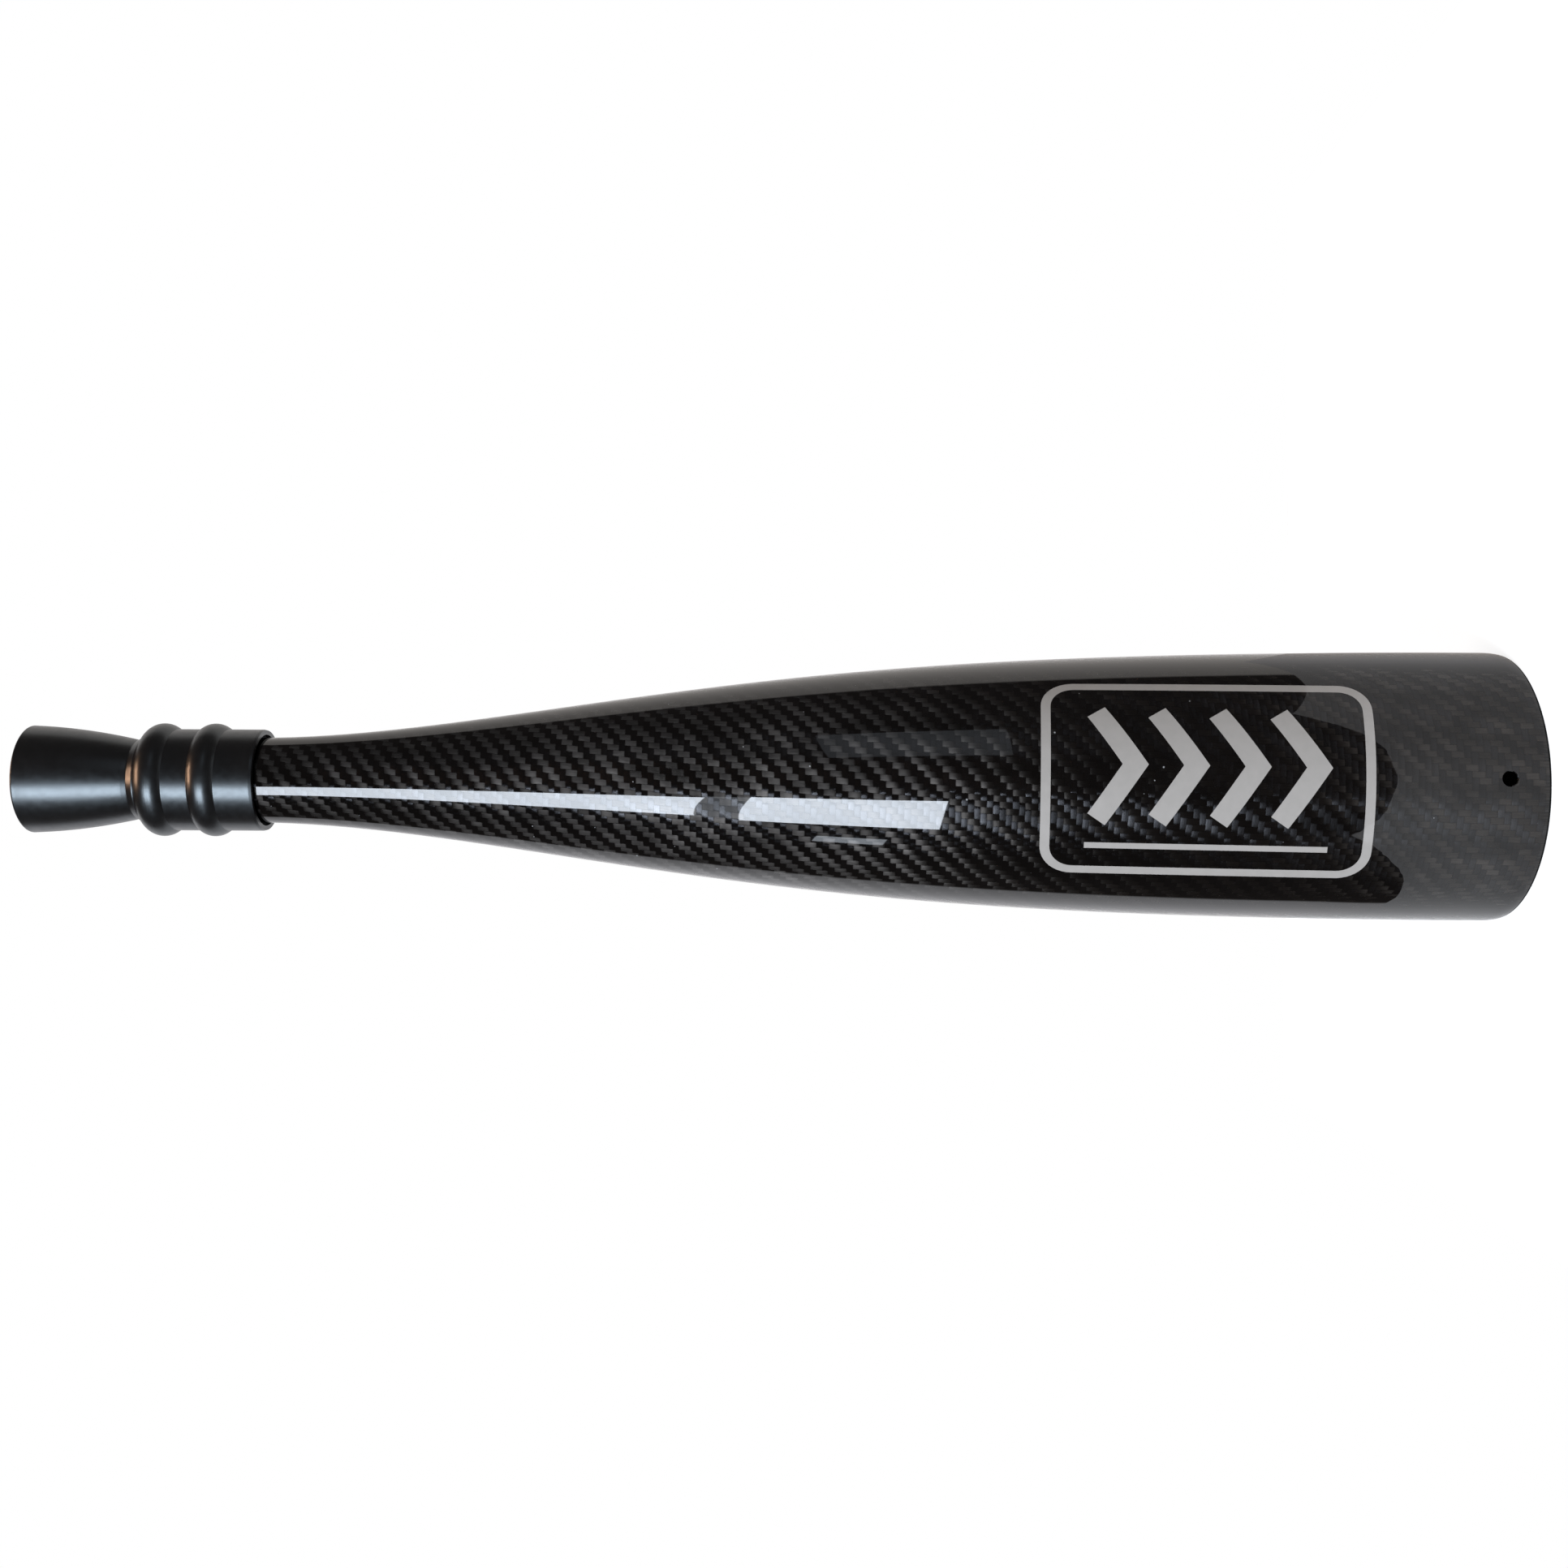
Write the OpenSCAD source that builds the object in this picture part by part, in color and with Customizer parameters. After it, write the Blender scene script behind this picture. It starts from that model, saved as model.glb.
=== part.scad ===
// Elk bugle tube: a flared carbon-fibre bell tube that stands on its open
// rim, with a beaded metal mouthpiece that pushes over the tube's neck and
// grips it with two rubber rings. +Z runs up the tube, away from the rim.

/* [Bell tube] */
// Outer diameter of the bell at its widest
bell_d = 97.5; // [85:0.5:110]
// Outer diameter of the straight neck under the collar
neck_d = 31; // [27:0.5:35]
// Height of the flare, from the open rim to the straight neck
flare_len = 447; // [400:1:500]
// Length of the straight neck
neck_len = 37.7; // [34:0.1:46]
// Thickness of the laminate
tube_wall = 2; // [1.4:0.1:3]
// Height of the even band next to the open rim
rim_band = 12; // [8:0.5:20]
// Height over which the outer edge of the rim is rounded
rim_round = 6; // [2:0.5:8]
// How far the rounded edge draws in at the rim
rim_draw = 1; // [0.4:0.1:1.2]
// Lead-in chamfer on the end of the neck
neck_chamfer = 0.5; // [0.2:0.1:1]

/* [Lanyard hole] */
// Diameter of the lanyard hole
hole_d = 5; // [3:0.1:6]
// Height of the lanyard hole above the open rim
hole_z = 14.2; // [10:0.1:25]
// Bevel on the outer edge of the lanyard hole
hole_bevel = 0.3; // [0.1:0.1:0.6]

/* [Collar] */
// Outer diameter of the plain stretches of the collar
collar_d = 36.9; // [35.6:0.1:39]
// Depth of the threaded socket that takes the mouthpiece
socket_len = 4.4; // [4:0.1:6]
// Diameter of the threaded socket
socket_d = 28.2; // [27.4:0.1:29]
// How far the collar's open end reaches past the straight neck, onto the flare
collar_lap = 0.7; // [0:0.1:2]
// How far a bead stands out of the collar, on the radius
bead_h = 2.1; // [1.2:0.1:3]
// Width of a bead where it meets the plain stretch
bead_w = 9.5; // [8.6:0.1:11]
// Distance from the top face of the collar to the middle of the front bead
bead_drop = 6.2; // [5.6:0.1:6.3]
// Distance between the middles of the two beads
bead_pitch = 18.6; // [16:0.1:21]
// Depth of the shallow taper at the collar's open end, on the radius
taper_in = 0.25; // [0.1:0.05:0.6]
// Length of the shallow taper at the collar's open end
taper_len = 0.9; // [0.4:0.1:2]
// Diameter of the recess in the collar's open end
recess_d = 33.2; // [32.6:0.1:34.6]
// Depth of the recess in the collar's open end
recess_len = 3; // [1:0.5:5]

/* [Mouthpiece] */
// Outer diameter of the mouthpiece at its lip
mouth_d = 39; // [37:0.1:44]
// Outer diameter of the flare where it leaves the foot
waist_d = 28.6; // [28.4:0.1:29.6]
// Length of the flare, from the foot to the lip
cup_len = 39.3; // [32:0.1:50]
// Outer diameter of the foot that seats on the collar
foot_d = 31.6; // [30.6:0.1:33]
// Height of the foot, which slopes in from its seat to the waist
foot_h = 2.6; // [2:0.1:4]
// Height of the foot's straight edge above its seat
foot_edge = 0.4; // [0.2:0.1:1]
// Radius of the hollow fillet between the foot and the flare
foot_fillet = 0.4; // [0.2:0.1:0.6]
// Diameter of the throat
throat_d = 23.6; // [20:0.1:24]
// Thickness of the lip
lip_w = 1.6; // [1.2:0.1:2.4]
// Height of the straight part of the throat above the foot
throat_len = 6; // [2:0.5:12]

/* [Sealing rings] */
// Section diameter of a sealing ring
ring_w = 2.2; // [1.8:0.1:2.3]
// Land between the neck stop and the front ring's groove
front_land = 2.2; // [1.5:0.1:2.6]

/* [Clearances] */
// Clearance between the collar's bore and the neck, on the radius
slide_gap = 0.3; // [0.2:0.05:0.4]
// Clearance round a sealing ring
ring_gap = 0.3; // [0.2:0.05:0.3]
// Gap between the end of the neck and its stop
stop_gap = 0.3; // [0.1:0.05:0.5]
// Clearance between the mouthpiece's spigot and its socket, on the radius
thread_gap = 0.1; // [0.05:0.05:0.2]

/* [Smoothness] */
// Steps along the curve of the bell
bell_steps = 64; // [32:8:96]
// Steps along the curve of the mouthpiece
cup_steps = 20; // [10:2:32]
// Facets of the preview circles
$fn = 96; // [48:8:160]

/* [Hidden] */

// Share of the way from the neck radius to the bell radius, at the control
// points of the flare, from the neck down to the rim band
swell = [0, 0.03, 0.92, 0.9, 1, 1];

bell_r = bell_d / 2;
neck_r = neck_d / 2;
neck_top = flare_len + neck_len;
bore_r = neck_r + slide_gap;

stop_z = neck_top + stop_gap;
collar_top = stop_z + socket_len;
collar_end = flare_len - collar_lap;
collar_r = collar_d / 2;
bead_arc = (bead_w * bead_w / 4 + bead_h * bead_h) / (2 * bead_h);
bead_mid_r = collar_r + bead_h - bead_arc;
front_bead_z = collar_top - bead_drop;
rear_bead_z = front_bead_z - bead_pitch;

ring_r = neck_r + ring_gap + ring_w / 2;
groove_r = ring_r + ring_w / 2 + ring_gap;
groove_w = ring_w + 2 * ring_gap;
front_ring_z = stop_z - front_land - groove_w / 2;
rear_ring_z = rear_bead_z;

foot_top = collar_top + foot_h;
lip_top = foot_top + cup_len;
mouth_r = mouth_d / 2;
waist_r = waist_d / 2;
throat_r = throat_d / 2;
spigot_r = socket_d / 2 - thread_gap;
lip_round = lip_w / 2;

carbon_colour = [0.11, 0.11, 0.12];
metal_colour = [0.17, 0.17, 0.19];
rubber_colour = [0.04, 0.04, 0.04];

// A point on the smooth curve that a row of control values steers
function curve(c, t) = len(c) == 1
    ? c[0]
    : curve([for (i = [0:len(c) - 2]) c[i] * (1 - t) + c[i + 1] * t], t);

// Outer radius of the flare, t running from the neck to the rim band
function flare_r(t) = neck_r + (bell_r - neck_r) * curve(swell, t);
function flare_z(t) = flare_len + (rim_band - flare_len) * t;

// The flare's outline, moved in by the thickness given
function flare_line(inset) = [
    for (i = [0:bell_steps])
        let (t = i / bell_steps)
            [flare_r(t) - inset, flare_z(t)]
];

// The quarter ellipse that rounds the outer edge of the rim
function rim_line() = [
    for (a = [90:-15:0])
        [bell_r - rim_draw * (1 - sin(a)), rim_round * (1 - cos(a))]
];

function reversed(list) = [for (i = [len(list) - 1:-1:0]) list[i]];

// The laminate from rim to neck, cut through on one side of the axis
module tube_section() {
    polygon(concat(
        [
            [neck_r - tube_wall, neck_top],
            [neck_r - neck_chamfer, neck_top],
            [neck_r, neck_top - neck_chamfer]
        ],
        flare_line(0),
        rim_line(),
        [[bell_r - tube_wall, 0]],
        reversed(flare_line(tube_wall))
    ));
}

// The lanyard hole: straight through one wall, bevelled at the outside
module hole_cut() {
    translate([0, 0, hole_z])
        rotate([90, 0, 0]) {
            cylinder(d = hole_d, h = bell_r + 1);
            translate([0, 0, bell_r - hole_bevel])
                cylinder(r1 = hole_d / 2, r2 = hole_d / 2 + 2 * hole_bevel, h = 2 * hole_bevel);
        }
}

module bell_tube() {
    color(carbon_colour)
    difference() {
        rotate_extrude() tube_section();
        hole_cut();
    }
}

// The outside of the plain sleeve, from its open end to the front bead
module sleeve_section() {
    polygon([
        [0, collar_end],
        [collar_r - taper_in, collar_end],
        [collar_r, collar_end + taper_len],
        [collar_r, front_bead_z],
        [0, front_bead_z]
    ]);
}

// A bead, turned as a whole ring of round section; the bores cut its inside
module bead(z) {
    rotate_extrude()
        translate([bead_mid_r, z])
        circle(r = bead_arc);
}

// A bore or groove of the collar, between two heights
module bore(r, z_low, z_high) {
    translate([0, 0, z_low]) cylinder(r = r, h = z_high - z_low);
}

module collar() {
    color(metal_colour)
    difference() {
        union() {
            rotate_extrude() sleeve_section();
            bead(front_bead_z);
            bead(rear_bead_z);
        }
        // the face that the mouthpiece seats on
        bore(collar_r + bead_h, collar_top, collar_top + 2 * bead_arc);
        // the threaded socket, right through, then the bore up to its stop
        bore(socket_d / 2, collar_end - 1, collar_top + 1);
        bore(bore_r, collar_end - 1, stop_z);
        bore(recess_d / 2, collar_end - 1, collar_end + recess_len);
        bore(groove_r, front_ring_z - groove_w / 2, front_ring_z + groove_w / 2);
        bore(groove_r, rear_ring_z - groove_w / 2, rear_ring_z + groove_w / 2);
    }
}

// Outer line of the mouthpiece's flare: steep at the waist, nearly straight
// at the lip
function cup_outer(t) = [
    curve([waist_r, mouth_r - 0.1 * (mouth_r - waist_r), mouth_r], t),
    foot_top + cup_len * curve([0, 0.52, 1], t)
];

// Inner line of the flare, from the throat up to the lip
function cup_inner(t) = [
    curve([throat_r, throat_r, mouth_r - lip_w - 1, mouth_r - lip_w], t),
    curve([foot_top + throat_len, foot_top + cup_len / 2.5, lip_top - cup_len / 3, lip_top - lip_round], t)
];

module mouthpiece_section() {
    translate([mouth_r - lip_round, lip_top - lip_round]) circle(r = lip_round);
    difference() {
        polygon(concat(
            [
                [throat_r, stop_z],
                [spigot_r, stop_z],
                [spigot_r, collar_top],
                [foot_d / 2, collar_top],
                [foot_d / 2, collar_top + foot_edge],
                [waist_r + foot_fillet, foot_top],
                [waist_r, foot_top + foot_fillet]
            ],
            [
                for (i = [1:cup_steps])
                    let (p = cup_outer(i / cup_steps))
                        [p[0], min(p[1], lip_top - lip_round)]
            ],
            [for (i = [cup_steps:-1:0]) cup_inner(i / cup_steps)]
        ));
        translate([waist_r + foot_fillet, foot_top + foot_fillet]) circle(r = foot_fillet);
    }
}

module mouthpiece() {
    color(metal_colour) rotate_extrude() mouthpiece_section();
}

module sealing_ring(z) {
    color(rubber_colour)
        translate([0, 0, z])
        rotate_extrude()
        translate([ring_r, 0])
        circle(d = ring_w);
}

module front_ring() {
    sealing_ring(front_ring_z);
}

module rear_ring() {
    sealing_ring(rear_ring_z);
}

bell_tube();
collar();
mouthpiece();
front_ring();
rear_ring();
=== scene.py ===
import math

import bmesh
import bpy
from mathutils import Matrix, Vector


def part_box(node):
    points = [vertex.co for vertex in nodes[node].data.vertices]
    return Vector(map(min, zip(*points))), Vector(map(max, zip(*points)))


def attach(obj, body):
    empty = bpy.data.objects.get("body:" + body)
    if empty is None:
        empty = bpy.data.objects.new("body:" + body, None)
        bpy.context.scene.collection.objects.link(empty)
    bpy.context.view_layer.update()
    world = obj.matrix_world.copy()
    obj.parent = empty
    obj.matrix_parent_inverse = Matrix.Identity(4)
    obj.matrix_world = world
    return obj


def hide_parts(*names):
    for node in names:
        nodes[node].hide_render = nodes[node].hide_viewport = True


# Elk bugle tube standing on its bell: gloss carbon laminate, black anodised
# mouthpiece, grey printed frame. Metres, +Z up the tube, -Y is the front.

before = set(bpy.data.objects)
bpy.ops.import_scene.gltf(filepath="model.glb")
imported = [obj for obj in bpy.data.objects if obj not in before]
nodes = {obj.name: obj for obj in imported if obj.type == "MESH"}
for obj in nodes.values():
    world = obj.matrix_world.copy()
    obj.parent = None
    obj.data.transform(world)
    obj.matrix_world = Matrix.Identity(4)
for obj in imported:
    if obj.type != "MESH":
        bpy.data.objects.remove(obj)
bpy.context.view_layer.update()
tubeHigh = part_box("bell_tube")[1]
bellRadius = tubeHigh.y
neckTop = tubeHigh.z
print("frame loaded:", sorted(nodes))


def putInScene(name, data):
    thing = bpy.data.objects.new(name, data)
    bpy.context.scene.collection.objects.link(thing)
    return thing


# camera: level with the middle of the tube and rolled on its side, so the bell lies to the right

camera = {
    "distance": 0.5924,
    "height": 0.2576,
    "sideStep": -0.00039,
    "lens": 37.27,
    "sensor": 36,
    "nearest": 0.01,
    "roll": 0.31,              # degrees, the bell end a little low
    "turn": 3.2,               # degrees round the tube from -Y towards -X
}


def direction(degrees):
    # level direction, measured from the camera's side of the tube towards -X
    angle = math.radians(degrees + camera["turn"])
    return Vector((-math.sin(angle), -math.cos(angle), 0))


def addCamera(settings):
    data = bpy.data.cameras.new("camera")
    data.lens = settings["lens"]
    data.sensor_width = settings["sensor"]
    data.clip_start = settings["nearest"]
    eye = putInScene("camera", data)
    roll = math.radians(settings["roll"])
    back = direction(0)
    side = direction(-90)
    right = side * math.sin(roll) - Vector((0, 0, math.cos(roll)))
    up = side * math.cos(roll) + Vector((0, 0, math.sin(roll)))
    turn = Matrix((right, up, back)).transposed().to_4x4()
    place = back * settings["distance"] + side * settings["sideStep"]
    place.z = settings["height"]
    eye.matrix_world = Matrix.Translation(place) @ turn
    bpy.context.scene.camera = eye


addCamera(camera)
print("camera placed")


# small helpers for building shader graphs

def startMaterial(name):
    material = bpy.data.materials.new(name)
    material.use_nodes = True
    graph = material.node_tree
    graph.nodes.clear()
    output = graph.nodes.new("ShaderNodeOutputMaterial")
    return material, graph, output.inputs["Surface"]


def startFinish(name):
    material, graph, surface = startMaterial(name)
    shader = graph.nodes.new("ShaderNodeBsdfPrincipled")
    graph.links.new(shader.outputs["BSDF"], surface)
    return material, graph, shader


def feed(graph, socket, value):
    if isinstance(value, bpy.types.NodeSocket):
        graph.links.new(value, socket)
    else:
        socket.default_value = value


def calc(graph, operation, *values):
    node = graph.nodes.new("ShaderNodeMath")
    node.operation = operation
    for socket, value in zip(node.inputs, values):
        feed(graph, socket, value)
    return node.outputs[0]


def product(graph, first, *others):
    for value in others:
        first = calc(graph, "MULTIPLY", first, value)
    return first


def vectorOf(graph, x, y, z=0.0):
    node = graph.nodes.new("ShaderNodeCombineXYZ")
    for socket, value in zip(node.inputs, (x, y, z)):
        feed(graph, socket, value)
    return node.outputs[0]


def partsOf(graph, vector):
    node = graph.nodes.new("ShaderNodeSeparateXYZ")
    graph.links.new(vector, node.inputs[0])
    return node.outputs


mixSockets = {"FLOAT": (2, 3, 0), "VECTOR": (4, 5, 1), "RGBA": (6, 7, 2)}     # low, high, result


def blend(graph, kind, share, low, high, mode="MIX"):
    node = graph.nodes.new("ShaderNodeMix")
    node.data_type = kind
    node.blend_type = mode
    lowSocket, highSocket, result = mixSockets[kind]
    feed(graph, node.inputs["Factor"], share)
    feed(graph, node.inputs[lowSocket], low)
    feed(graph, node.inputs[highSocket], high)
    return node.outputs[result]


def blendValue(graph, share, low, high):
    return blend(graph, "FLOAT", share, low, high)


def blendColour(graph, share, low, high, mode="MIX"):
    low, high = ((*colour, 1) if isinstance(colour, tuple) else colour for colour in (low, high))
    return blend(graph, "RGBA", share, low, high, mode)


def noiseNode(graph, vector, scale, detail):
    node = graph.nodes.new("ShaderNodeTexNoise")
    feed(graph, node.inputs["Vector"], vector)
    node.inputs["Scale"].default_value = scale
    node.inputs["Detail"].default_value = detail
    return node


def noiseOf(graph, vector, scale, detail):
    return noiseNode(graph, vector, scale, detail).outputs["Fac"]


def channelOf(graph, node, number):
    # one of the three independent values in a texture's colour
    parts = graph.nodes.new("ShaderNodeSeparateColor")
    graph.links.new(node.outputs["Color"], parts.inputs[0])
    return parts.outputs[number]


def ramp(graph, value, low, high, outLow=0.0, outHigh=1.0):
    node = graph.nodes.new("ShaderNodeMapRange")
    feed(graph, node.inputs["Value"], value)
    node.inputs["From Min"].default_value = low
    node.inputs["From Max"].default_value = high
    node.inputs["To Min"].default_value = outLow
    node.inputs["To Max"].default_value = outHigh
    return node.outputs["Result"]


noiseSpan = (0.3, 0.7)     # nearly all of a noise lies between these


def varied(graph, noise, share):
    # a factor that strays from 1 by a share, following a noise
    return ramp(graph, noise, *noiseSpan, 1 - share, 1 + share)


def bump(graph, height, distance, normal=None):
    node = graph.nodes.new("ShaderNodeBump")
    feed(graph, node.inputs["Height"], height)
    node.inputs["Distance"].default_value = distance
    if normal is not None:
        feed(graph, node.inputs["Normal"], normal)
    return node.outputs["Normal"]


def placeOf(graph):
    return graph.nodes.new("ShaderNodeTexCoord").outputs["Object"]


def roundCoordinates(graph):
    # where a point of the tube is: distance from the axis, angle round it from the front
    place = placeOf(graph)
    x, y, z = partsOf(graph, place)
    squares = calc(graph, "ADD", calc(graph, "MULTIPLY", x, x), calc(graph, "MULTIPLY", y, y))
    minusX, minusY = calc(graph, "MULTIPLY", x, -1.0), calc(graph, "MULTIPLY", y, -1.0)
    return {
        "place": place,
        "x": x,
        "z": z,
        "radius": calc(graph, "SQRT", squares),
        "angle": calc(graph, "ARCTAN2", minusX, minusY),
    }


# carbon laminate: 2x2 twill cloth wrapped round the tube under a thick clear coat

weave = {
    "axialTows": 443.2,        # tows crossed in a metre along the tube, at the bell
    "axialGrowth": 64.0,       # how they close up towards the neck
    "hoopTows": 454.5,         # tows crossed in a metre round the tube
    "drift": 13.6,             # how the cloth creeps round the tube
    "driftGrowth": 121.2,
    "clothTurn": 3.2,          # degrees from -Y to where the cloth's count starts
    "wander": 0.16,            # how far a tow strays from its row, in tow widths
    "wanderScale": 140.0,
    "fray": 0.05,
    "frayScale": 1300.0,
    "filaments": 9.0,          # streaks across one tow
    "filamentStretch": 0.5,
    # one fibre in two colours: painted light on the tows along the tube, painted shade on the tows
    # round it
    "axialLitColour": (0.0305, 0.0280, 0.0260),
    "hoopShadedColour": (0.0160, 0.0162, 0.0174),
    "axialRough": 0.38,
    "hoopRough": 0.22,
    "filamentRough": 0.08,
    "resinTint": 0.1,          # the resin keeps the fibres from gleaming edge on
    # painted shade: each tow darker at its sides and where it dives under, which also darkens the
    # gaps between tows
    "sideShade": 0.45,         # shine that is left at a tow's sides
    "sideBody": 0.35,          # share of its roundness at which it shines in full
    "endShade": 0.55,          # shine that is left where it dives under
    "endRun": 0.4,             # share of its arch at which it shines in full
    "filamentShade": 0.25,     # how much the shine varies, from streak to streak
    "patchShade": 0.30,        # from place to place
    "patchScale": 90.0,
    "towShade": 0.30,          # from tow to tow
    "laneShades": (0.60, 1.45),        # and in lanes that run along the tube
    "laneSpan": (0.35, 0.65),
    "laneStretch": (0.035, 0.22),
    "neckShade": 0.55,         # how much of their shine the fibres keep at the neck
    "neckFade": (0.32, 0.44),
    "towHeight": 0.00016,
    "runShare": 0.6,           # how much of the height is the tow's arch, how much its round
    "bodyShare": 0.4,
    "filamentShare": 0.04,
    "rawEdge": 0.0008,         # height of the cut edge that the coat leaves bare
    "rawColour": (0.006, 0.006, 0.006),
    "rawRough": 0.8,
    "cutTows": (0.0035, 0.0015),       # heights over which the cut tow ends come up as fine lines
    "cutLines": 260,           # lines round the rim
    "cutEdges": (0.45, 0.6),   # how sharply each one begins
    "cutColour": (0.06, 0.058, 0.056),
    "cutShare": 0.5,
    "dust": 0.09,
    "dustScale": 260.0,
    "dustFree": 0.85,          # share of the places with no speck
    "dustColour": (0.3, 0.3, 0.3),
    "coat": 1.0,
    "boreCoat": 0.12,          # what the coat is worth inside
    "coatRough": 0.015,
    "coatIor": 1.5,
    "coatWave": 0.00005,
    "coatWaveScale": 24.0,
    "coatPeel": 0.000003,
    "coatPeelScale": 170.0,
    "coatGrowth": 6.0,         # how much rougher the coat lies near the bell's rim
    "coatGrows": (0.10, 0.055),        # heights between which it becomes so
}


def crown(graph, value):
    # an arch from 0 up to 1 and back, as the value goes from 0 to 1
    return product(graph, value, calc(graph, "SUBTRACT", 1.0, value), 4.0)


def weaveGraph(graph, settings):
    where = roundCoordinates(graph)
    place, z = where["place"], where["z"]
    clothAngle = calc(graph, "SUBTRACT", where["angle"], math.radians(settings["clothTurn"]))
    arc = calc(graph, "MULTIPLY", clothAngle, where["radius"])
    axialTows = calc(graph, "MULTIPLY_ADD", z, settings["axialGrowth"], settings["axialTows"])
    creep = calc(graph, "MULTIPLY_ADD", calc(graph, "POWER", z, 3.0), settings["driftGrowth"],
                 calc(graph, "MULTIPLY", z, settings["drift"]))
    counts = [calc(graph, "MULTIPLY", z, axialTows),
              calc(graph, "MULTIPLY_ADD", arc, settings["hoopTows"], creep)]
    stray = noiseNode(graph, place, settings["wanderScale"], 1.0)
    frayed = noiseNode(graph, place, settings["frayScale"], 1.0)
    for k in range(2):
        for noise, reach in ((stray, settings["wander"]), (frayed, settings["fray"])):
            swing = calc(graph, "SUBTRACT", channelOf(graph, noise, k), 0.5)
            counts[k] = calc(graph, "MULTIPLY_ADD", swing, 2 * reach, counts[k])
    along, across = counts
    alongCell, acrossCell = calc(graph, "FLOOR", along), calc(graph, "FLOOR", across)
    alongPart, acrossPart = calc(graph, "FRACT", along), calc(graph, "FRACT", across)
    # which of the four steps of the twill this crossing is: 0 and 1 show an axial tow
    step = calc(graph, "FLOORED_MODULO", calc(graph, "ADD", alongCell, acrossCell), 4.0)
    hoopStep = calc(graph, "SUBTRACT", step, 2.0)
    axialTop = calc(graph, "LESS_THAN", step, 1.5)
    # how far the tow on top has come from one dive to the next
    axialRun = crown(graph, calc(graph, "MULTIPLY", calc(graph, "ADD", step, alongPart), 0.5))
    hoopRun = crown(graph, calc(graph, "MULTIPLY", calc(graph, "ADD", hoopStep, acrossPart), 0.5))
    # one chance value for each stretch of tow that lies on top
    axialStart = calc(graph, "SUBTRACT", alongCell, calc(graph, "MULTIPLY", step, axialTop))
    hoopStart = calc(graph, "SUBTRACT", acrossCell, hoopStep)
    stretch = graph.nodes.new("ShaderNodeTexWhiteNoise")
    stretch.noise_dimensions = "3D"
    lane = blendValue(graph, axialTop, hoopStart, acrossCell)
    number = vectorOf(graph, axialStart, lane, axialTop)
    graph.links.new(number, stretch.inputs["Vector"])
    # filaments: noise drawn out along the tow that shows
    fine, long = settings["filaments"], settings["filamentStretch"]
    alongFine, alongLong = (calc(graph, "MULTIPLY", along, scale) for scale in (fine, long))
    acrossLong, acrossFine = (calc(graph, "MULTIPLY", across, scale) for scale in (long, fine))
    drawn = vectorOf(graph, blendValue(graph, axialTop, alongFine, alongLong),
                     blendValue(graph, axialTop, acrossLong, acrossFine))
    return {
        **where,
        "along": along,
        "across": across,
        "axialTop": axialTop,
        "run": blendValue(graph, axialTop, hoopRun, axialRun),
        "body": blendValue(graph, axialTop, crown(graph, alongPart), crown(graph, acrossPart)),
        "filament": noiseOf(graph, drawn, 1.0, 3.0),
        "chance": stretch.outputs["Value"],
    }


def clearCoat(graph, shader, weight, where, settings):
    feed(graph, shader.inputs["Coat Weight"], weight)
    shader.inputs["Coat Roughness"].default_value = settings["coatRough"]
    shader.inputs["Coat IOR"].default_value = settings["coatIor"]
    # long waves and orange peel, stronger towards the bell
    growth = ramp(graph, where["z"], *settings["coatGrows"], 1.0, settings["coatGrowth"])
    wave, peel = (calc(graph, "MULTIPLY", noiseOf(graph, where["place"], scale, 1.0), growth)
                  for scale in (settings["coatWaveScale"], settings["coatPeelScale"]))
    surface = bump(graph, peel, settings["coatPeel"], bump(graph, wave, settings["coatWave"]))
    graph.links.new(surface, shader.inputs["Coat Normal"])


def clothShade(graph, cloth, settings):
    # how much of their colour the fibres throw back, with painted shade at each tow's sides and
    # where it dives under
    laneAlong, laneAcross = settings["laneStretch"]
    stretched = vectorOf(graph, calc(graph, "MULTIPLY", cloth["along"], laneAlong),
                         calc(graph, "MULTIPLY", cloth["across"], laneAcross))
    lanes = noiseOf(graph, stretched, 1.0, 2.0)
    patch = noiseOf(graph, cloth["place"], settings["patchScale"], 2.0)
    towShade = settings["towShade"]
    return product(
        graph,
        ramp(graph, cloth["body"], 0.0, settings["sideBody"], settings["sideShade"], 1.0),
        ramp(graph, cloth["run"], 0.0, settings["endRun"], settings["endShade"], 1.0),
        varied(graph, cloth["filament"], settings["filamentShade"]),
        varied(graph, patch, settings["patchShade"]),
        ramp(graph, lanes, *settings["laneSpan"], *settings["laneShades"]),
        ramp(graph, cloth["chance"], 0.0, 1.0, 1 - towShade, 1 + towShade),
        ramp(graph, cloth["z"], *settings["neckFade"], 1.0, settings["neckShade"]),
    )


def dustSpecks(graph, place, settings):
    cells = graph.nodes.new("ShaderNodeTexVoronoi")
    cells.inputs["Scale"].default_value = settings["dustScale"]
    graph.links.new(place, cells.inputs["Vector"])
    size = calc(graph, "MULTIPLY", settings["dust"], channelOf(graph, cells, 0))
    speck = calc(graph, "LESS_THAN", cells.outputs["Distance"], size)
    chosen = calc(graph, "GREATER_THAN", channelOf(graph, cells, 1), settings["dustFree"])
    return calc(graph, "MULTIPLY", speck, chosen)


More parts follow.
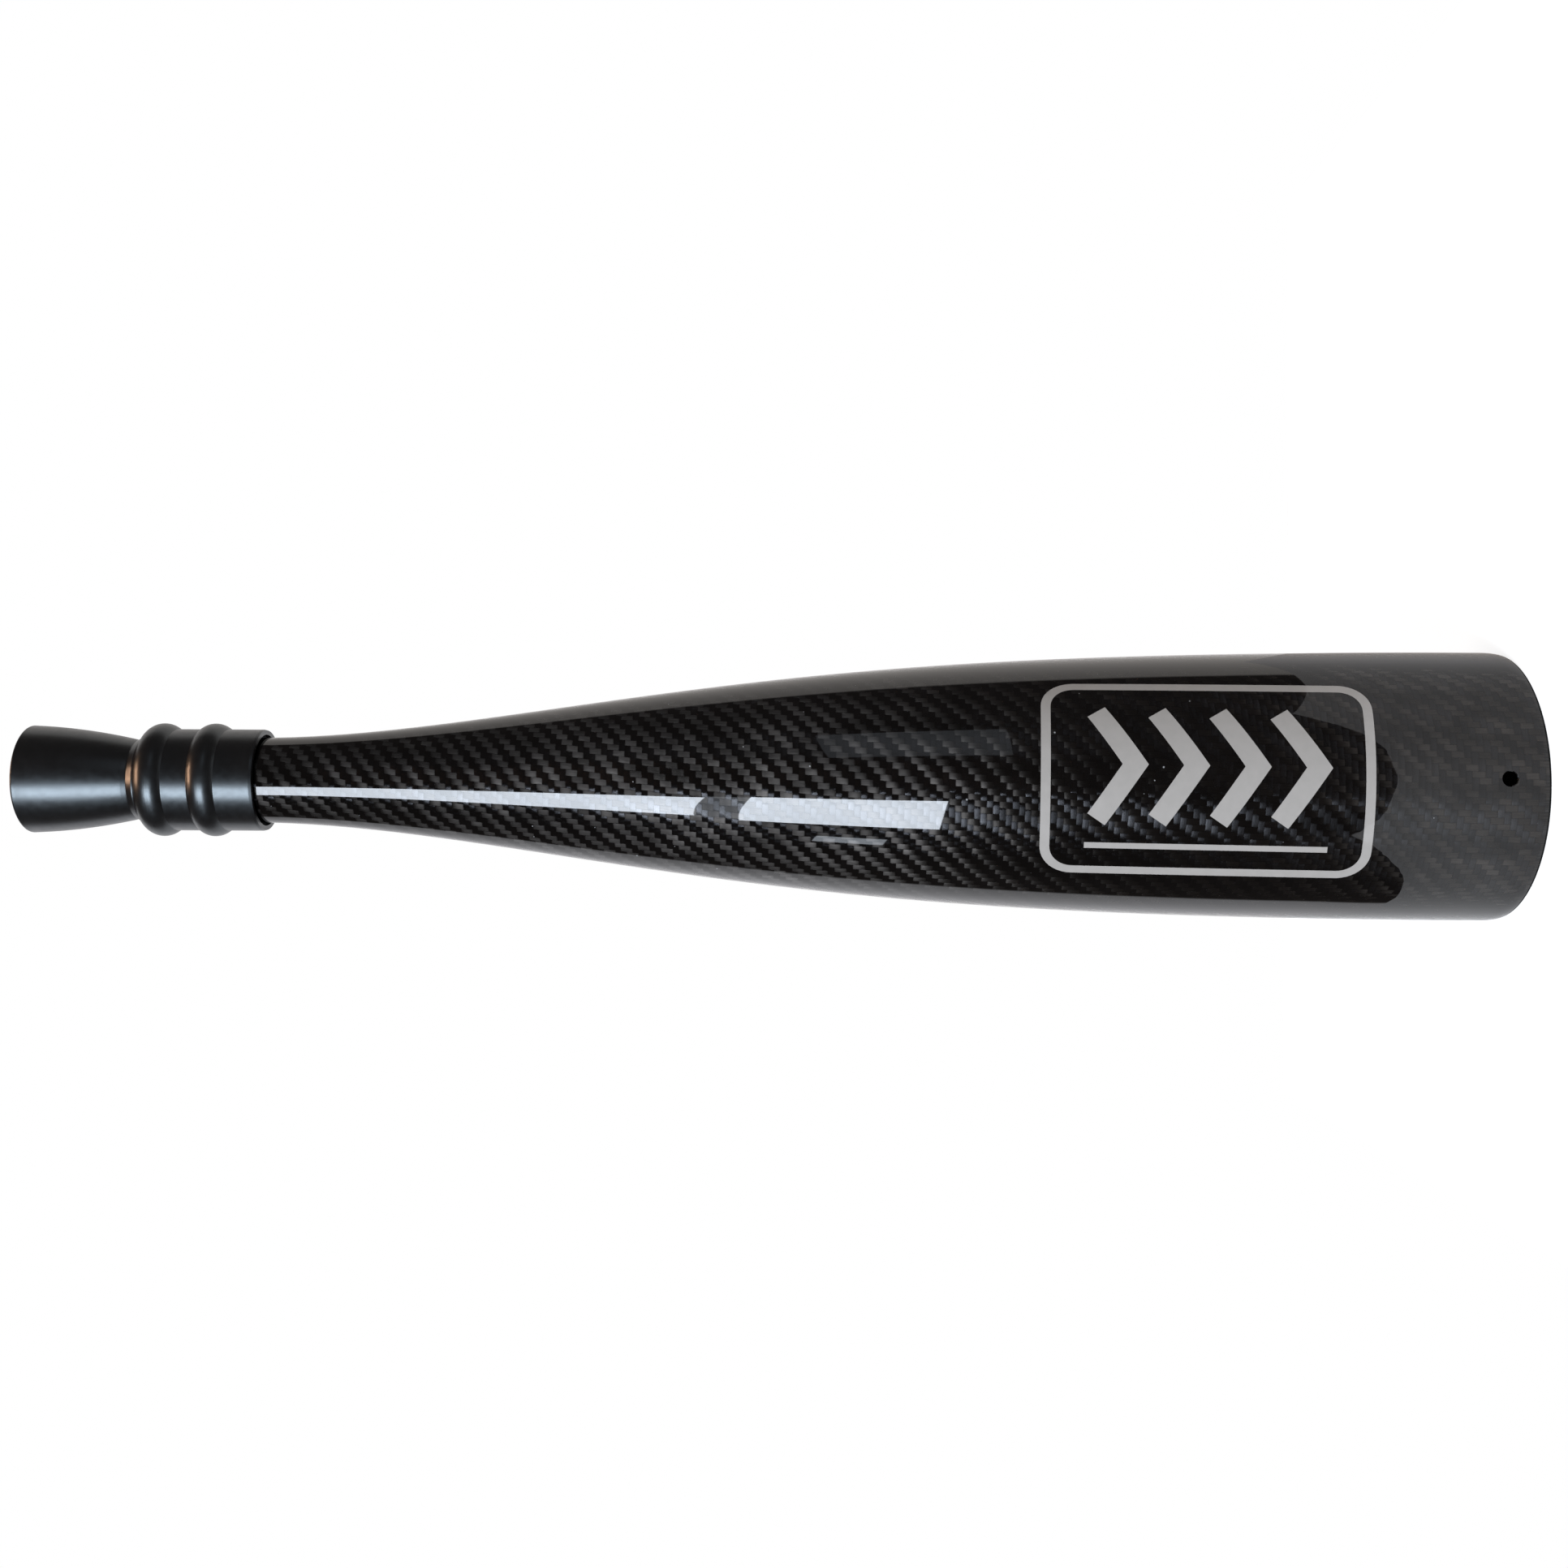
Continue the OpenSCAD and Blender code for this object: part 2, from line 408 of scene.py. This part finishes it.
def carbonLaminate(name, settings):
    # the fibres are a dim metal under the clear coat: its colour is what they throw back
    material, graph, shader = startFinish(name)
    cloth = weaveGraph(graph, settings)
    axialTop, filament = cloth["axialTop"], cloth["filament"]
    raw = calc(graph, "LESS_THAN", cloth["z"], settings["rawEdge"])
    speck = dustSpecks(graph, cloth["place"], settings)
    bare = calc(graph, "MAXIMUM", raw, speck)

    shade = clothShade(graph, cloth, settings)
    # tows along the tube painted lighter than the same fibre running round it: painted light and
    # painted shade
    colour = blendColour(graph, axialTop, settings["hoopShadedColour"], settings["axialLitColour"])
    colour = blendColour(graph, 1.0, colour, vectorOf(graph, shade, shade, shade), "MULTIPLY")
    count = calc(graph, "MULTIPLY", cloth["angle"], settings["cutLines"] / math.pi)
    lines = noiseOf(graph, vectorOf(graph, count, 0.0), 1.0, 0.0)
    lines = product(graph, ramp(graph, lines, *settings["cutEdges"]),
                    ramp(graph, cloth["z"], *settings["cutTows"]), settings["cutShare"])
    colour = blendColour(graph, lines, colour, settings["cutColour"])
    colour = blendColour(graph, raw, colour, settings["rawColour"])
    colour = blendColour(graph, speck, colour, settings["dustColour"])
    graph.links.new(colour, shader.inputs["Base Color"])
    graph.links.new(calc(graph, "SUBTRACT", 1.0, bare), shader.inputs["Metallic"])
    shader.inputs["Specular Tint"].default_value = (*[settings["resinTint"]] * 3, 1)

    # the gloss is drawn out across the fibres: round the tube on axial tows, along it on hoop tows
    hoopWay = graph.nodes.new("ShaderNodeVectorMath")
    hoopWay.operation = "CROSS_PRODUCT"
    hoopWay.inputs[0].default_value = (0, 0, 1)
    graph.links.new(cloth["place"], hoopWay.inputs[1])
    tangent = blend(graph, "VECTOR", axialTop, (0, 0, 1), hoopWay.outputs[0])
    graph.links.new(tangent, shader.inputs["Tangent"])
    shader.inputs["Anisotropic"].default_value = 1.0
    rough = blendValue(graph, axialTop, settings["hoopRough"], settings["axialRough"])
    rough = calc(graph, "MULTIPLY", rough, varied(graph, filament, settings["filamentRough"]))
    rough = blendValue(graph, raw, rough, settings["rawRough"])
    graph.links.new(rough, shader.inputs["Roughness"])

    height = calc(graph, "MULTIPLY", cloth["body"], settings["bodyShare"])
    height = calc(graph, "MULTIPLY_ADD", cloth["run"], settings["runShare"], height)
    height = calc(graph, "MULTIPLY_ADD", filament, settings["filamentShare"], height)
    graph.links.new(bump(graph, height, settings["towHeight"]), shader.inputs["Normal"])
    clearCoat(graph, shader, blendValue(graph, bare, settings["coat"], 0.0), cloth, settings)
    return material


# black anodised aluminium, bead blasted after turning

anodised = {
    "colour": (0.0022, 0.0018, 0.0017),
    "cloud": 0.3,
    "cloudScale": 120.0,
    "specular": 0.86,
    "tint": (0.84, 0.94, 1.0),
    "roughness": 0.32,
    "roughnessSpread": 0.03,
    "roughnessScale": 400.0,
    "turning": 0.0000012,
    "turningScale": 3500.0,
    "grain": 0.0000025,
    "grainScale": 3000.0,
}


def blackAnodised(settings):
    material, graph, shader = startFinish("blackAnodised")
    where = roundCoordinates(graph)
    place = where["place"]
    cloud = noiseOf(graph, place, settings["cloudScale"], 3.0)
    dark, light = (tuple(c * share for c in settings["colour"])
                   for share in (1 - settings["cloud"], 1 + settings["cloud"]))
    graph.links.new(blendColour(graph, cloud, dark, light), shader.inputs["Base Color"])
    shader.inputs["Specular IOR Level"].default_value = settings["specular"]
    shader.inputs["Specular Tint"].default_value = (*settings["tint"], 1)
    middle, spread = settings["roughness"], settings["roughnessSpread"]
    clean = noiseOf(graph, place, settings["roughnessScale"], 2.0)
    rough = ramp(graph, clean, *noiseSpan, middle - spread, middle + spread)
    graph.links.new(rough, shader.inputs["Roughness"])
    grooves = vectorOf(graph, calc(graph, "MULTIPLY", where["z"], settings["turningScale"]),
                       calc(graph, "MULTIPLY", where["radius"], settings["turningScale"]))
    turned = bump(graph, noiseOf(graph, grooves, 1.0, 2.0), settings["turning"])
    grain = noiseOf(graph, place, settings["grainScale"], 2.0)
    graph.links.new(bump(graph, grain, settings["grain"], turned), shader.inputs["Normal"])
    return material


# sealing rings: dull moulded rubber

rubber = {
    "dark": (0.012, 0.012, 0.012),
    "light": (0.026, 0.025, 0.025),
    "bloomScale": 500.0,
    "roughness": (0.55, 0.7),
    "grain": 0.000004,
    "grainScale": 2500.0,
}


def ringRubber(settings):
    material, graph, shader = startFinish("ringRubber")
    place = placeOf(graph)
    bloom = noiseOf(graph, place, settings["bloomScale"], 3.0)
    colour = blendColour(graph, bloom, settings["dark"], settings["light"])
    graph.links.new(colour, shader.inputs["Base Color"])
    rough = ramp(graph, bloom, *noiseSpan, *settings["roughness"])
    graph.links.new(rough, shader.inputs["Roughness"])
    grain = noiseOf(graph, place, settings["grainScale"], 2.0)
    graph.links.new(bump(graph, grain, settings["grain"]), shader.inputs["Normal"])
    return material


def dress(name, material):
    node = nodes[name]
    node.data.materials.clear()
    node.data.materials.append(material)


# the tube: the CAD solid turned again in finer steps, so that its gloss runs smoothly

tube = {
    "neckRadius": 0.0155,
    "wall": 0.002,
    "flareLength": 0.447,
    "rimBand": 0.012,
    "rimRound": 0.006,
    "rimDraw": 0.001,
    "rimSteps": 12,
    "neckChamfer": 0.0005,
    "swell": (0, 0.03, 0.92, 0.9, 1, 1),   # share of the way from neck to bell radius, neck first
    "holeRadius": 0.0025,
    "holeHeight": 0.0142,
    "holeBevel": 0.0003,
    "holeFacets": 96,
    "steps": 140,
    "facets": 256,
    "sharpAngle": 35,          # degrees between faces from which an edge stays crisp
    "boreFacing": -0.7,        # faces that look towards the axis more than this are the bore
}


def steered(controls, t):
    # a point on the smooth curve that a row of control values steers
    while len(controls) > 1:
        controls = [a * (1 - t) + b * t for a, b in zip(controls, controls[1:])]
    return controls[0]


def flareRadius(settings, z):
    # outer radius of the tube at a height
    if z > settings["flareLength"]:
        return settings["neckRadius"]
    if z < settings["rimBand"]:
        return bellRadius
    t = (settings["flareLength"] - z) / (settings["flareLength"] - settings["rimBand"])
    share = steered(settings["swell"], t)
    return settings["neckRadius"] + (bellRadius - settings["neckRadius"]) * share


def pieceFrom(shape, name):
    mesh = bpy.data.meshes.new(name)
    shape.to_mesh(mesh)
    shape.free()
    return putInScene(name, mesh)


def turnRound(name, outline, facets):
    # a closed outline of (radius, height) points, turned about the Z axis
    shape = bmesh.new()
    rings = []
    for radius, height in outline:
        ring = []
        for k in range(facets):
            angle = 2 * math.pi * k / facets
            spot = (radius * math.cos(angle), radius * math.sin(angle), height)
            ring.append(shape.verts.new(spot))
        rings.append(ring)
    for here, after in zip(rings, rings[1:] + rings[:1]):
        for k in range(facets):
            shape.faces.new((here[k], after[k], after[k - 1], here[k - 1]))
    bmesh.ops.remove_doubles(shape, verts=shape.verts, dist=0.000001)     # points on the axis
    bmesh.ops.recalc_face_normals(shape, faces=shape.faces)
    return pieceFrom(shape, name)


def cutWith(piece, cutter):
    cut = piece.modifiers.new("cut", "BOOLEAN")
    cut.object = cutter
    cut.operation = "DIFFERENCE"
    bpy.context.view_layer.objects.active = piece
    bpy.ops.object.modifier_apply(modifier="cut")
    bpy.data.objects.remove(cutter)


def tubeOutline(settings):
    # neck end, outside down to the rim, the rounded rim, then back up the inside
    neck, wall, chamfer = settings["neckRadius"], settings["wall"], settings["neckChamfer"]
    drop = settings["rimBand"] - settings["flareLength"]
    heights = [settings["flareLength"] + drop * k / settings["steps"]
               for k in range(settings["steps"] + 1)]
    outside = [(flareRadius(settings, z), z) for z in heights]
    inside = [(radius - wall, z) for radius, z in reversed(outside)]
    rim = []
    for k in range(settings["rimSteps"] + 1):
        angle = math.radians(90 - 90 * k / settings["rimSteps"])
        rim.append((bellRadius - settings["rimDraw"] * (1 - math.sin(angle)),
                    settings["rimRound"] * (1 - math.cos(angle))))
    end = [(neck - wall, neckTop), (neck - chamfer, neckTop), (neck, neckTop - chamfer)]
    return end + outside + rim + [(bellRadius - wall, 0)] + inside


def drillLanyardHole(piece, settings):
    hole, bevel = settings["holeRadius"], settings["holeBevel"]
    outline = [(0, 0), (hole, 0), (hole, bellRadius - bevel),
               (hole + 2 * bevel, bellRadius + bevel), (0, bellRadius + bevel)]
    drill = turnRound("drill", outline, settings["holeFacets"])
    forward = Matrix.Rotation(math.radians(90), 4, "X")
    drill.matrix_world = Matrix.Translation((0, 0, settings["holeHeight"])) @ forward
    bpy.context.view_layer.update()
    cutWith(piece, drill)


def makeTube(settings):
    piece = turnRound("tube_shell", tubeOutline(settings), settings["facets"])
    drillLanyardHole(piece, settings)
    piece.data.shade_smooth()
    piece.data.set_sharp_from_angle(angle=math.radians(settings["sharpAngle"]))
    piece.data.materials.append(carbonLaminate("carbonLaminate", weave))
    piece.data.materials.append(carbonLaminate("carbonBore", {**weave, "coat": weave["boreCoat"]}))
    for face in piece.data.polygons:
        outward = Vector((face.center.x, face.center.y, 0))
        facing = face.normal.dot(outward.normalized())
        face.material_index = int(facing < settings["boreFacing"])
    return piece


tubeShell = makeTube(tube)
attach(tubeShell, "bell")
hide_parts("bell_tube")
print("tube turned:", len(tubeShell.data.polygons), "faces")


# printed panel under the coat: a plain frame round a row of chevrons and a bar

panel = {
    "low": 0.0591,
    "high": 0.1710,
    "height": 0.0727,
    "middle": -0.0026,         # metres round the tube from the camera's side towards -X
    "slope": 0.0150,           # how the panel turns as it goes down the tube
    "bow": 1.3,                # how a flat sheet bends towards the bell when it is wrapped
    "stroke": 0.0033,
    "corner": 0.0112,
    "cornerSteps": 12,
    "lift": 0.00004,
    "chevrons": 4,
    "chevronPitch": 0.0205,
    "chevronHeight": 0.038,
    "chevronReach": 0.013,
    "chevronStroke": 0.0072,
    "chevronDrop": -0.004,
    "barStroke": 0.0022,
    "barPlace": 0.0245,
    "fineness": 0.0015,
}


def onTube(settings, down, aside):
    # a point on the tube: metres down from the panel's top end, metres aside from its middle line
    z = settings["high"] - down + settings["slope"] * aside - settings["bow"] * aside * aside
    radius = flareRadius(tube, z) + settings["lift"]
    fromMiddle = down - (settings["high"] - settings["low"]) / 2
    arc = aside + settings["middle"] + settings["slope"] * fromMiddle
    angle = arc / radius + math.radians(camera["turn"])
    return (-radius * math.sin(angle), -radius * math.cos(angle), z)


def bandSides(path, width, closed):
    # the two sides of a band along a path, mitred at its corners
    count = len(path)
    sides = []
    for k, point in enumerate(path):
        here = Vector(point)
        before = Vector(path[k - 1]) if closed or k > 0 else None
        after = Vector(path[(k + 1) % count]) if closed or k < count - 1 else None
        ways = [(b - a).normalized() for a, b in ((before, here), (here, after))
                if a is not None and b is not None]
        across = [Vector((-way.y, way.x)) for way in ways]
        mitre = sum(across, Vector((0, 0))).normalized()
        reach = width / 2 / mitre.dot(across[0])
        sides.append((here + mitre * reach, here - mitre * reach))
    return sides


def addBand(shape, settings, path, width, closed=False):
    # a band of the width given along a path of (down, aside) points, laid on the tube
    sides = bandSides(path, width, closed)
    after = sides[1:] + sides[:1] if closed else sides[1:]
    lanes = max(1, math.ceil(width / settings["fineness"]))
    for (leftA, rightA), (leftB, rightB) in zip(sides, after):
        cuts = max(1, math.ceil((leftB - leftA).length / settings["fineness"]))
        for i in range(cuts):
            for j in range(lanes):
                corners = []
                for u, v in ((i, j), (i + 1, j), (i + 1, j + 1), (i, j + 1)):
                    left = leftA.lerp(leftB, u / cuts)
                    right = rightA.lerp(rightB, u / cuts)
                    spot = left.lerp(right, v / lanes)
                    corners.append(shape.verts.new(onTube(settings, spot.x, spot.y)))
                shape.faces.new(corners)


def roundedFrame(settings):
    # the middle line of the frame's stroke
    inset = settings["stroke"] / 2
    corner = settings["corner"] - inset
    near = inset + corner
    far = settings["high"] - settings["low"] - inset - corner
    side = settings["height"] / 2 - inset - corner
    path = []
    for x, y, start in ((far, side, 0), (near, side, 90), (near, -side, 180), (far, -side, 270)):
        for k in range(settings["cornerSteps"] + 1):
            angle = math.radians(start + 90 * k / settings["cornerSteps"])
            path.append((x + corner * math.cos(angle), y + corner * math.sin(angle)))
    return path


def makePanel(settings):
    shape = bmesh.new()
    addBand(shape, settings, roundedFrame(settings), settings["stroke"], closed=True)
    middle = (settings["high"] - settings["low"]) / 2
    count, pitch = settings["chevrons"], settings["chevronPitch"]
    half, reach = settings["chevronHeight"] / 2, settings["chevronReach"]
    drop = settings["chevronDrop"]
    for k in range(count):
        start = middle + (k - (count - 1) / 2) * pitch - reach / 2
        chevron = [(start, drop - half), (start + reach, drop), (start, drop + half)]
        addBand(shape, settings, chevron, settings["chevronStroke"])
    aside, halfBar = settings["barPlace"], count * pitch / 2
    bar = [(middle - halfBar, aside), (middle + halfBar, aside)]
    addBand(shape, settings, bar, settings["barStroke"])
    bmesh.ops.remove_doubles(shape, verts=shape.verts, dist=0.00001)
    for face in shape.faces:
        face.normal_update()
        outward = face.calc_center_median()
        if face.normal.dot(Vector((outward.x, outward.y, 0))) < 0:
            face.normal_flip()
    piece = pieceFrom(shape, "printed_panel")
    piece.data.shade_smooth()
    return piece


ink = {
    "dark": (0.405, 0.378, 0.348),
    "light": (0.470, 0.438, 0.405),
    "cloudScale": 300.0,
    "roughness": 0.6,
    "specular": 0.2,
    "grain": 0.000003,
    "grainScale": 2500.0,
}


def printInk(settings):
    # satin silver-grey ink under the same clear coat
    material, graph, shader = startFinish("silverInk")
    where = roundCoordinates(graph)
    place = where["place"]
    cloud = noiseOf(graph, place, settings["cloudScale"], 3.0)
    colour = blendColour(graph, cloud, settings["dark"], settings["light"])
    graph.links.new(colour, shader.inputs["Base Color"])
    shader.inputs["Roughness"].default_value = settings["roughness"]
    shader.inputs["Specular IOR Level"].default_value = settings["specular"]
    grain = noiseOf(graph, place, settings["grainScale"], 2.0)
    graph.links.new(bump(graph, grain, settings["grain"]), shader.inputs["Normal"])
    clearCoat(graph, shader, weave["coat"], where, weave)
    return material


printedPanel = makePanel(panel)
printedPanel.data.materials.append(printInk(ink))
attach(printedPanel, "bell")
print("panel printed")


anodisedMaterial = blackAnodised(anodised)
dress("collar", anodisedMaterial)
dress("mouthpiece", anodisedMaterial)
rubberMaterial = ringRubber(rubber)
dress("front_ring", rubberMaterial)
dress("rear_ring", rubberMaterial)
print("materials made")


# floor: a plain pale sheet with a painted glow seen only in reflections, which makes the veil over
# the bell's lower end; the glow is weaker towards +X as painted shade, and warmer there

floorSheet = {
    "corners": (               # metres towards the camera's side, metres towards -X
        (0.202, 0.157),
        (0.18, -0.30),
        (-0.24, -0.30),
        (-0.24, 0.157),
    ),
    "dark": (0.70, 0.70, 0.70),
    "light": (0.76, 0.76, 0.76),
    "grainScale": 60.0,
    "toEye": 0.78,             # glow that makes it white where it is seen straight
    # painted reflection: glow seen only in reflections, weaker at the +X side as painted shade
    "paintedMirrorGlow": (0.5, 0.2),    # glow in a reflection, at the -X side and at the +X side
    "paintedMirrorTints": ((1.0, 1.0, 1.02), (1.12, 1.0, 0.92)),
    "sides": (-0.06, 0.07),
}


def addFloor(settings):
    corners = [direction(0) * near + direction(90) * aside for near, aside in settings["corners"]]
    mesh = bpy.data.meshes.new("floor")
    mesh.from_pydata(corners, [], [(0, 1, 2, 3)])
    floor = putInScene("floor", mesh)
    material, graph, surface = startMaterial("paleFloor")
    where = roundCoordinates(graph)
    diffuse = graph.nodes.new("ShaderNodeBsdfDiffuse")
    grain = noiseOf(graph, where["place"], settings["grainScale"], 3.0)
    colour = blendColour(graph, grain, settings["dark"], settings["light"])
    graph.links.new(colour, diffuse.inputs["Color"])
    glow = graph.nodes.new("ShaderNodeEmission")
    path = graph.nodes.new("ShaderNodeLightPath").outputs
    # painted reflection: the floor glows only in reflections, less and warmer towards +X as painted
    # shade
    mirrored = calc(graph, "MAXIMUM", path["Is Glossy Ray"], path["Is Transmission Ray"])
    side = ramp(graph, where["x"], *settings["sides"])
    tint = blendColour(graph, side, *settings["paintedMirrorTints"])
    tint = blendColour(graph, mirrored, (1.0, 1.0, 1.0), tint)
    graph.links.new(tint, glow.inputs["Color"])
    toEye = calc(graph, "MULTIPLY", path["Is Camera Ray"], settings["toEye"])
    paintedMirrorGlow = calc(graph, "MULTIPLY", mirrored, ramp(graph, side, 0.0, 1.0, *settings["paintedMirrorGlow"]))
    # no glow shut in under the bell
    outside = calc(graph, "GREATER_THAN", where["radius"], bellRadius - tube["wall"])
    strength = calc(graph, "MULTIPLY", calc(graph, "ADD", toEye, paintedMirrorGlow), outside)
    graph.links.new(strength, glow.inputs["Strength"])
    total = graph.nodes.new("ShaderNodeAddShader")
    graph.links.new(diffuse.outputs[0], total.inputs[0])
    graph.links.new(glow.outputs[0], total.inputs[1])
    graph.links.new(total.outputs[0], surface)
    floor.data.materials.append(material)


# lamps: upright soft boxes round the tube, a fill lamp, and two warm lamps high above

lamps = {
    "distance": 1.5,
    "colour": (0.87, 0.95, 1.055),
    "boxes": (                 # foot, top, width, degrees from the camera towards -X, radiance
        (0.268, 0.661, 0.73, 29.8, 16.0),
        (0.661, 0.7515, 0.66, 29.0, 1.4),
        (0.7515, 1.25, 0.60, 29.2, 16.0),
        (0.352, 0.485, 0.17, 59.8, 4.5),
        (0.142, 0.500, 0.66, -38.5, 0.42),
    ),
    "fillSize": 0.9,
    "fillHeight": 0.35,
    "fillAngle": -75.0,
    "fillRadiance": 1.5,
    "fillColour": (1.05, 1.0, 0.95),
    "topHeight": 1.5,
    "topAngles": (0, -54),
    "topDistance": 0.25,
    "topSize": 0.14,
    "topRadiance": 36.0,
    "topColour": (1.1, 0.62, 0.38),
}


def addLamp(name, width, tall, radiance, colour):
    data = bpy.data.lights.new(name, "AREA")
    data.shape = "RECTANGLE"
    data.size = width
    data.size_y = tall
    data.energy = radiance * math.pi * width * tall
    data.color = colour
    return putInScene(name, data)


def standLamp(lamp, distance, degrees, height):
    # upright, and facing the tube's axis
    side = direction(degrees)
    across = direction(degrees - 90)
    turn = Matrix((across, side.cross(across), side)).transposed().to_4x4()
    lamp.matrix_world = Matrix.Translation(side * distance + Vector((0, 0, height))) @ turn


def addLamps(settings):
    distance = settings["distance"]
    for number, (low, high, width, degrees, radiance) in enumerate(settings["boxes"], 1):
        box = addLamp(f"softBox{number}", width, high - low, radiance, settings["colour"])
        standLamp(box, distance, degrees, (low + high) / 2)
    size = settings["fillSize"]
    fill = addLamp("fill", size, size, settings["fillRadiance"], settings["fillColour"])
    standLamp(fill, distance, settings["fillAngle"], settings["fillHeight"])
    fill.visible_glossy = False      # it only lightens the far side of the print
    size = settings["topSize"]
    for number, degrees in enumerate(settings["topAngles"], 1):
        top = addLamp(f"warmTop{number}", size, size, settings["topRadiance"],
                      settings["topColour"])
        place = direction(degrees) * settings["topDistance"]
        place.z = settings["topHeight"]
        top.matrix_world = Matrix.Translation(place)
        top.visible_diffuse = False      # only a glint on the metal


# room: white behind the tube and dark on the camera's side, white wherever it is seen straight

room = {
    "back": ((1.0, 1.0, 1.04), (0.75, 0.71, 0.68)),    # at the -X side, and at the +X side
    "front": (0.085, 0.074, 0.072),
    "edges": (0.44, 0.33),     # how far back the white begins, at the -X side and at the +X side
    "breadth": 0.6,
    "softness": 0.02,
}


def addRoom(settings):
    world = bpy.data.worlds.new("room")
    bpy.context.scene.world = world
    world.use_nodes = True
    graph = world.node_tree
    graph.nodes.clear()
    turned = graph.nodes.new("ShaderNodeVectorRotate")
    turned.rotation_type = "Z_AXIS"
    turned.inputs["Angle"].default_value = math.radians(camera["turn"])
    looking = graph.nodes.new("ShaderNodeTexCoord").outputs["Generated"]
    graph.links.new(looking, turned.inputs["Vector"])
    parts = partsOf(graph, turned.outputs[0])
    breadth, softness = settings["breadth"], settings["softness"]
    side = ramp(graph, parts["X"], -breadth, breadth)
    edge = ramp(graph, side, 0.0, 1.0, *settings["edges"])
    behind = ramp(graph, calc(graph, "SUBTRACT", parts["Y"], edge), -softness, softness)
    back = blendColour(graph, side, *settings["back"])
    walls = blendColour(graph, behind, settings["front"], back)
    path = graph.nodes.new("ShaderNodeLightPath").outputs
    colour = blendColour(graph, path["Is Camera Ray"], walls, (1.0, 1.0, 1.0))
    sky = graph.nodes.new("ShaderNodeBackground")
    graph.links.new(colour, sky.inputs["Color"])
    output = graph.nodes.new("ShaderNodeOutputWorld")
    graph.links.new(sky.outputs[0], output.inputs["Surface"])


addFloor(floorSheet)
addLamps(lamps)
addRoom(room)
bpy.context.scene.view_settings.view_transform = "Standard"
print("studio lit")
